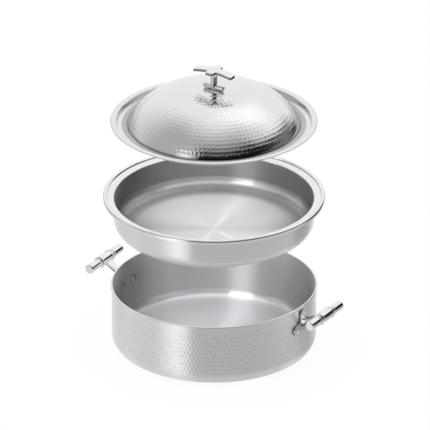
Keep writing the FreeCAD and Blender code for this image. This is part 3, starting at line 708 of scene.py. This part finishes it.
def barrel_profile():
    """Middle sleeve: a raised rounded lip at each end of a plain barrel."""
    lip, barrel, rim = BARREL_LIP, BARREL_LIP - BARREL_RIM, BARREL_RIM_WIDTH
    edge, half = 0.4 * MM, BARREL_HALF
    first = np.concatenate([
        [(0, -half)],
        arc((lip - edge, edge - half), edge, -90, 0, 4),
        arc((lip - edge, rim - edge - half), edge, 0, 90, 4),
        [(barrel + edge / 2, rim - half), (barrel, rim + edge / 2 - half)],
        line((barrel, rim + edge - half), (barrel, 0), 4),
    ])
    return np.concatenate([first, first[::-1] * (1, -1)])


def grip_profile():
    """Turned grip: rounded ring grooves next to the barrel, plain run, chamfered flat end."""
    radius, start = GRIP_RADIUS, BARREL_HALF
    neck, neck_end = radius - GRIP_NECK_STEP, start + GRIP_NECK_LENGTH
    rows = [np.array([(0, start), (neck, start), (neck, neck_end), (radius, neck_end + 0.1 * MM)])]
    for ring in range(GROOVE_COUNT):
        low = start + GROOVE_START + ring * GROOVE_PITCH
        swing = np.linspace(0, math.pi, 7)
        depth, along = GROOVE_DEPTH * np.sin(swing), GROOVE_WIDTH * swing / math.pi
        rows.append(np.stack([radius - depth, low + along], -1))
    far = low + GROOVE_PITCH
    edge = 0.3 * MM
    rows.append(line((radius, far), (radius, BAR_HALF - GRIP_CHAMFER - edge), 3))
    rows.append(line((radius, BAR_HALF - GRIP_CHAMFER), (radius - GRIP_CHAMFER, BAR_HALF), 3))
    rows.append(np.array([(radius - GRIP_CHAMFER, BAR_HALF), (radius / 2, BAR_HALF), (0, BAR_HALF)]))
    return np.concatenate(rows)


def plate_outline():
    """Trefoil plan (across, up) about the arm's root: two rivet lobes, a crest and a waist."""
    out, level, crest = RIVET_OUT, RIVET_LEVEL, PLATE_CREST - CREST_RADIUS
    neck = out - CREST_RADIUS
    sag = PLATE_WAIST - math.sqrt(PLATE_WAIST ** 2 - out ** 2)
    spread = math.degrees(math.asin(out / PLATE_WAIST))
    waist_middle = level - LOBE_RADIUS + sag - PLATE_WAIST
    right = np.concatenate([
        arc((0, waist_middle), PLATE_WAIST, 90, 90 - spread, 8),
        arc((out, level), LOBE_RADIUS, -90, 90, 20),
        arc((out, level + LOBE_RADIUS + neck), neck, 270, 180, 10),
        line((CREST_RADIUS, level + LOBE_RADIUS + neck), (CREST_RADIUS, crest), 3),
        arc((0, crest), CREST_RADIUS, 0, 90, 10),
    ])
    mirrored = np.concatenate([right[1:], [(0, crest + CREST_RADIUS)]])[::-1] * (-1, 1)
    return np.concatenate([right, mirrored])


def bracket_plate(outline, middle):
    """Plate bent to the wall: its outline drawn in round the front edge and shrunk to a point.

    A point across the plate lies on a circle about the pan's axis, whose radius grows from
    the plate's back to its front.
    """
    inward = inward_normals(outline)
    shrink = np.array([0.2, 0.5, 0.8])
    back, front = np.zeros(len(shrink) + 1), np.ones(len(shrink))
    bend = np.radians(np.linspace(0, 90, EDGE_ROWS))
    drawn_in = np.concatenate([back, PLATE_EDGE * (1 - np.cos(bend)), PLATE_EDGE * front])
    size = np.concatenate([shrink, np.ones(EDGE_ROWS + 1), shrink[::-1]])
    depth = np.concatenate([back, PLATE_SHEET - PLATE_EDGE * (1 - np.sin(bend)), PLATE_SHEET * front])
    flat = outline[None] + inward[None] * drawn_in[:, None, None]
    flat = middle + (flat - middle) * size[:, None, None]
    reach = np.sqrt((PLATE_INNER + depth[:, None]) ** 2 - flat[..., 0] ** 2)
    rings = np.stack([reach, flat[..., 0], flat[..., 1]], -1)
    return closed_rings(rings, (PLATE_INNER, *middle), (PLATE_INNER + PLATE_SHEET, *middle))


def bracket_arm(root_level):
    """Arm from plate to barrel: upright rounded-rectangle sections that thin towards the bar."""
    columns, corner_power = 40, 0.35
    near, far = PLATE_INNER + PLATE_SHEET / 2, BAR[0] - BARREL_LIP / 2
    along = np.linspace(0, 1, 13)
    x = near + (far - near) * along
    level = root_level + (x - near) * math.tan(ARM_SLOPE)
    end_half = ARM_THICKNESS / 2 / math.cos(ARM_SLOPE)
    flare = ARM_FLARE * np.clip(1 - along * ARM_FLARE_FALL, 0, 1) ** 2
    half = end_half + (ARM_ROOT / 2 - end_half) * (1 - along) + flare
    wide = ARM_HALF + flare
    angle = np.arange(columns) * TURN / columns
    side = np.sign(np.cos(angle)) * np.abs(np.cos(angle)) ** corner_power
    rise = np.sign(np.sin(angle)) * np.abs(np.sin(angle)) ** corner_power
    height = level[:, None] + half[:, None] * rise
    rings = np.stack([x[:, None] + 0 * angle, wide[:, None] * side, height], -1)
    return closed_rings(rings, (near, 0, level[0]), (far, 0, level[-1]))


def rivet_profile():
    """Rivet along its axis from the pan's middle: low head inside, shank, low tail outside."""
    seat = math.sqrt(BASE_INNER ** 2 - RIVET_HEAD ** 2)
    tail = PLATE_INNER + PLATE_SHEET
    swing = np.radians(np.linspace(0, 90, 9))
    head = np.stack([RIVET_HEAD * np.sin(swing), seat - (seat - RIVET_HEAD_TOP) * np.cos(swing)], -1)
    foot = np.stack([RIVET_TAIL * np.cos(swing), tail + RIVET_TAIL_HEIGHT * np.sin(swing)], -1)
    return np.concatenate([head, [(RIVET_RADIUS, seat), (RIVET_RADIUS, tail)], foot])


def make_side_handle(side, turn):
    """One side handle, built at the right and swung half a turn for the left."""
    root_level = BAR[2] - (BAR[0] - PLATE_INNER - PLATE_SHEET / 2) * math.tan(ARM_SLOPE)
    plate_middle = np.array([0, RIVET_LEVEL + PLATE_MIDDLE_RISE])
    shells = [bracket_plate(plate_outline(), plate_middle), bracket_arm(root_level)]
    new_piece(f"handle_bracket_{side}", [laid(shell, 0, (0, 0, 0), turn) for shell in shells],
              "base", [f"bracket_{side}"], CAST)
    reach = math.copysign(BAR[0], math.cos(turn))
    barrel = laid(spun(barrel_profile(), ROD_COLUMNS), 2, (reach, 0, BAR[2]))
    new_piece(f"handle_barrel_{side}", [barrel], "base", [f"barrel_{side}"], CHROME)
    for end, half_turn in (("back", 0), ("front", math.pi)):
        grip = laid(spun(grip_profile(), ROD_COLUMNS), 2, (reach, 0, BAR[2]), half_turn)
        new_piece(f"handle_grip_{side}_{end}", [grip], "base", [f"grip_{side}_{end}"], CHROME)
    spread = math.asin(RIVET_OUT / BASE_WALL)
    rivet = spun(rivet_profile(), RIVET_COLUMNS)
    pair = [laid(rivet, 1, (0, 0, RIVET_LEVEL), turn + sign * spread) for sign in (-1, 1)]
    new_piece(f"handle_rivets_{side}", pair, "base", [f"rivets_{side}"], FASTENER)


make_water_pan()
make_food_pan()
make_lid()
make_knob_cross()
make_knob_stem()
make_side_handle("right", 0.0)
make_side_handle("left", math.pi)


# Studio and camera

VIEW_AZIMUTH, VIEW_ELEVATION = math.radians(31), math.radians(25.2)
VIEW_DISTANCE, VIEW_END, FRAME_WIDTH, SENSOR = 25.0, 200.0, 0.755, 36.0
AIM = Vector((0.0015, 0.0009, 0.2496))
FLOOR_HALF, FLOOR_GREY, FLOOR_ROUGHNESS, FLOOR_GLOW = 40.0, 0.9, 0.15, 1.02
FLOOR_WHITE, FLOOR_MIRRORED_WHITE, FLOOR_SHEEN = 0.9, 0.46, 0.85
CARD_STEPS, CARD_FOOT = 24, -6.0


def stage_piece(name, points, faces, material):
    """A backdrop that is not part of the object."""
    mesh = bpy.data.meshes.new(name)
    mesh.from_pydata(points, [], faces)
    mesh.materials.append(material)
    piece = bpy.data.objects.new(name, mesh)
    bpy.context.scene.collection.objects.link(piece)
    return piece


def floor_finish():
    """White gloss table: plain white to the camera, half so in reflections, with a light shadow."""
    paint = Paint("floor")
    seen = paint.node("ShaderNodeLightPath", out="Is Camera Ray")
    mirrored = paint.node("ShaderNodeLightPath", out="Is Glossy Ray")
    through = paint.node("ShaderNodeLightPath", out="Is Transmission Ray")
    paint.finish(Base_Color=(FLOOR_GREY, FLOOR_GREY, FLOOR_GREY, 1), Roughness=1.0)
    body = Wire(paint, paint.shader.outputs[0])
    polish = {"Color": (1, 1, 1, 1), "Roughness": FLOOR_ROUGHNESS}
    sheen = paint.node("ShaderNodeBsdfAnisotropic", inputs=polish)
    table = paint.node("ShaderNodeMixShader", inputs={0: mirrored * FLOOR_SHEEN, 1: body, 2: sheen})
    glow = paint.node("ShaderNodeEmission", inputs={"Color": (1, 1, 1, 1), "Strength": FLOOR_GLOW})
    white = seen * FLOOR_WHITE + (mirrored + through) * FLOOR_MIRRORED_WHITE
    mixed = paint.node("ShaderNodeMixShader", inputs={0: white, 1: table, 2: glow})
    paint.feed(paint.tree.nodes["Material Output"].inputs["Surface"], mixed)
    return paint.material


def card_finish(name, shade, fades):
    """A card of one grey that fades out at its left, right, lower and upper edge, by its UV map."""
    paint = Paint(name)
    place = paint.node("ShaderNodeTexCoord", out="UV")
    across, up = (paint.node("ShaderNodeSeparateXYZ", inputs={0: place}, out=axis) for axis in "XY")
    mask = 1.0
    for share, fading in zip((across, 1 - across, up, 1 - up), fades):
        mask = share.above(fading / 2, fading) * mask
    clear = paint.node("ShaderNodeBsdfTransparent")
    glow = paint.node("ShaderNodeEmission", inputs={"Color": (shade, shade, shade, 1), "Strength": 1.0})
    mixed = paint.node("ShaderNodeMixShader", inputs={0: mask, 1: clear, 2: glow})
    paint.feed(paint.tree.nodes["Material Output"].inputs["Surface"], mixed)
    return paint.material


def card(name, distance, shade, bearings, tops, fades, foot=CARD_FOOT):
    """Studio card on a sphere round the object, that only reflections see.

    Bearings are degrees to the right of the camera, foot and tops are heights in degrees, the
    top at the left bearing first, and fades are degrees at the left, right, lower and upper edge.
    """
    share, up = np.meshgrid(np.linspace(0, 1, CARD_STEPS), np.linspace(0, 1, CARD_STEPS))
    angle = VIEW_AZIMUTH + np.radians(bearings[0] + (bearings[1] - bearings[0]) * share)
    lift = np.radians(foot + (tops[0] + (tops[1] - tops[0]) * share - foot) * up)
    round_card = [np.sin(angle) * np.cos(lift), -np.cos(angle) * np.cos(lift), np.sin(lift)]
    points = np.array(AIM) + distance * np.stack(round_card, -1)
    row, column = np.meshgrid(np.arange(CARD_STEPS - 1), np.arange(CARD_STEPS - 1), indexing="ij")
    start = row * CARD_STEPS + column
    faces = np.stack([start, start + CARD_STEPS, start + CARD_STEPS + 1, start + 1], -1).reshape(-1, 4)
    wide, high = bearings[1] - bearings[0], max(tops) - foot
    shares = (fades[0] / wide, fades[1] / wide, fades[2] / high, fades[3] / high)
    piece = stage_piece(name, points.reshape(-1, 3), faces.tolist(), card_finish(name, shade, shares))
    places = np.stack([share, up], -1).reshape(-1, 2)
    uv = piece.data.uv_layers.new(name="card")
    uv.data.foreach_set("uv", places[faces.reshape(-1)].reshape(-1))
    piece.visible_camera = False
    piece.visible_diffuse = False
    piece.visible_shadow = False


floor_corners = [(-FLOOR_HALF, -FLOOR_HALF, 0), (FLOOR_HALF, -FLOOR_HALF, 0),
                 (FLOOR_HALF, FLOOR_HALF, 0), (-FLOOR_HALF, FLOOR_HALF, 0)]
stage_piece("floor", floor_corners, [(0, 1, 2, 3)], floor_finish())
card("strip_light", distance=2.7, shade=1.1, bearings=(-54, -27), tops=(42, 42),
     fades=(10, 9, 4, 8), foot=20)
card("low_strip", distance=2.72, shade=1.32, bearings=(-66, -24), tops=(27, 27),
     fades=(22, 14, 1, 6))
card("handle_flag", distance=0.95, shade=0.02, bearings=(92, 140), tops=(20, 20),
     fades=(8, 10, 1, 5), foot=-15)
card("front_flag", distance=2.8, shade=0.01, bearings=(-26, 60), tops=(58, 58),
     fades=(6, 4, 1, 22))
card("right_flag", distance=2.85, shade=0.01, bearings=(50, 140), tops=(56, 22),
     fades=(6, 25, 1, 18))
card("front_low", distance=2.75, shade=0.2, bearings=(-28, 140), tops=(27, 27),
     fades=(5, 25, 1, 6))
card("left_low", distance=1.7, shade=0.3, bearings=(-170, -95), tops=(16, 16),
     fades=(40, 20, 1, 14), foot=-8)
card("right_low", distance=1.7, shade=0.3, bearings=(120, 172), tops=(12, 12),
     fades=(20, 30, 1, 12), foot=-8)
card("soft_box", distance=2.95, shade=1.28, bearings=(95, 185), tops=(84, 84),
     fades=(30, 30, 20, 20), foot=34)
card("front_grey", distance=3.0, shade=0.5, bearings=(-150, 110), tops=(90, 90),
     fades=(60, 60, 1, 30))


def area_lamp(name, body, shape, size, area, place, facing, radiance):
    """Evenly bright lamp that the camera does not see and that rides on a body.

    An even lamp's power is pi times its radiance times its area.
    """
    lamp_data = bpy.data.lights.new(name, "AREA")
    lamp_data.shape = shape
    lamp_data.size, lamp_data.size_y = size
    lamp_data.energy = radiance * math.pi * area
    lamp = bpy.data.objects.new(name, lamp_data)
    lamp.location = place
    lamp.rotation_euler = facing
    lamp.visible_camera = False
    bpy.context.scene.collection.objects.link(lamp)
    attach(lamp, body)


def fill_lamp(name, body, radius, level, radiance):
    """Round lamp under a lifted vessel, for the sky that this vessel hides from the one below."""
    size, area = (2 * radius, 2 * radius), math.pi * radius ** 2
    area_lamp(name, body, "DISK", size, area, (0, 0, level), (0, 0, 0), radiance)


def band_lamp(name, body, bearing, width, low, high, reach, radiance):
    """Upright lamp over a vessel, turned to the wall across: it draws the bright band there.

    The bearing is in degrees to the right of the camera.  A ray from the camera that leaves the far
    wall a third of that angle past the middle, on the other side, goes to the lamp.
    """
    near = VIEW_AZIMUTH + math.radians(bearing)
    across = VIEW_AZIMUTH + math.pi + math.radians(bearing / 3)
    place = (reach * math.sin(near), -reach * math.cos(near), (low + high) / 2)
    back = Vector((math.sin(near) - math.sin(across), math.cos(across) - math.cos(near), 0))
    facing = back.to_track_quat("Z", "Y").to_euler()
    size, area = (width, high - low), width * (high - low)
    area_lamp(name, body, "RECTANGLE", size, area, place, facing, radiance)


band_lamp("base_band", "pan", bearing=-54, width=0.09, low=BASE_RIM + 10 * MM,
          high=PAN_UNDER - 12 * MM, reach=0.125, radiance=2.8)
band_lamp("pan_band", "lid", bearing=-60, width=0.09, low=LID_UNDER - 46 * MM,
          high=LID_UNDER - 12 * MM, reach=0.125, radiance=4.6)
fill_lamp("base_fill", "pan", radius=0.165, level=PAN_UNDER - 8 * MM, radiance=0.68)
fill_lamp("pan_fill", "lid", radius=0.165, level=LID_UNDER - 4 * MM, radiance=0.6)

world = bpy.data.worlds.new("studio")
bpy.context.scene.world = world
world.use_nodes = True
sky = world.node_tree.nodes["Background"]
sky.inputs["Color"].default_value = (1, 1, 1, 1)
sky.inputs["Strength"].default_value = 1.0

camera_data = bpy.data.cameras.new("camera")
camera_data.sensor_width = SENSOR
camera_data.lens = SENSOR * VIEW_DISTANCE / FRAME_WIDTH
camera_data.clip_end = VIEW_END
camera = bpy.data.objects.new("camera", camera_data)
bpy.context.scene.collection.objects.link(camera)
away = Vector((math.sin(VIEW_AZIMUTH) * math.cos(VIEW_ELEVATION),
               -math.cos(VIEW_AZIMUTH) * math.cos(VIEW_ELEVATION), math.sin(VIEW_ELEVATION)))
camera.location = AIM + away * VIEW_DISTANCE
camera.rotation_euler = away.to_track_quat("Z", "Y").to_euler()
bpy.context.scene.camera = camera
bpy.context.scene.view_settings.view_transform = "Standard"
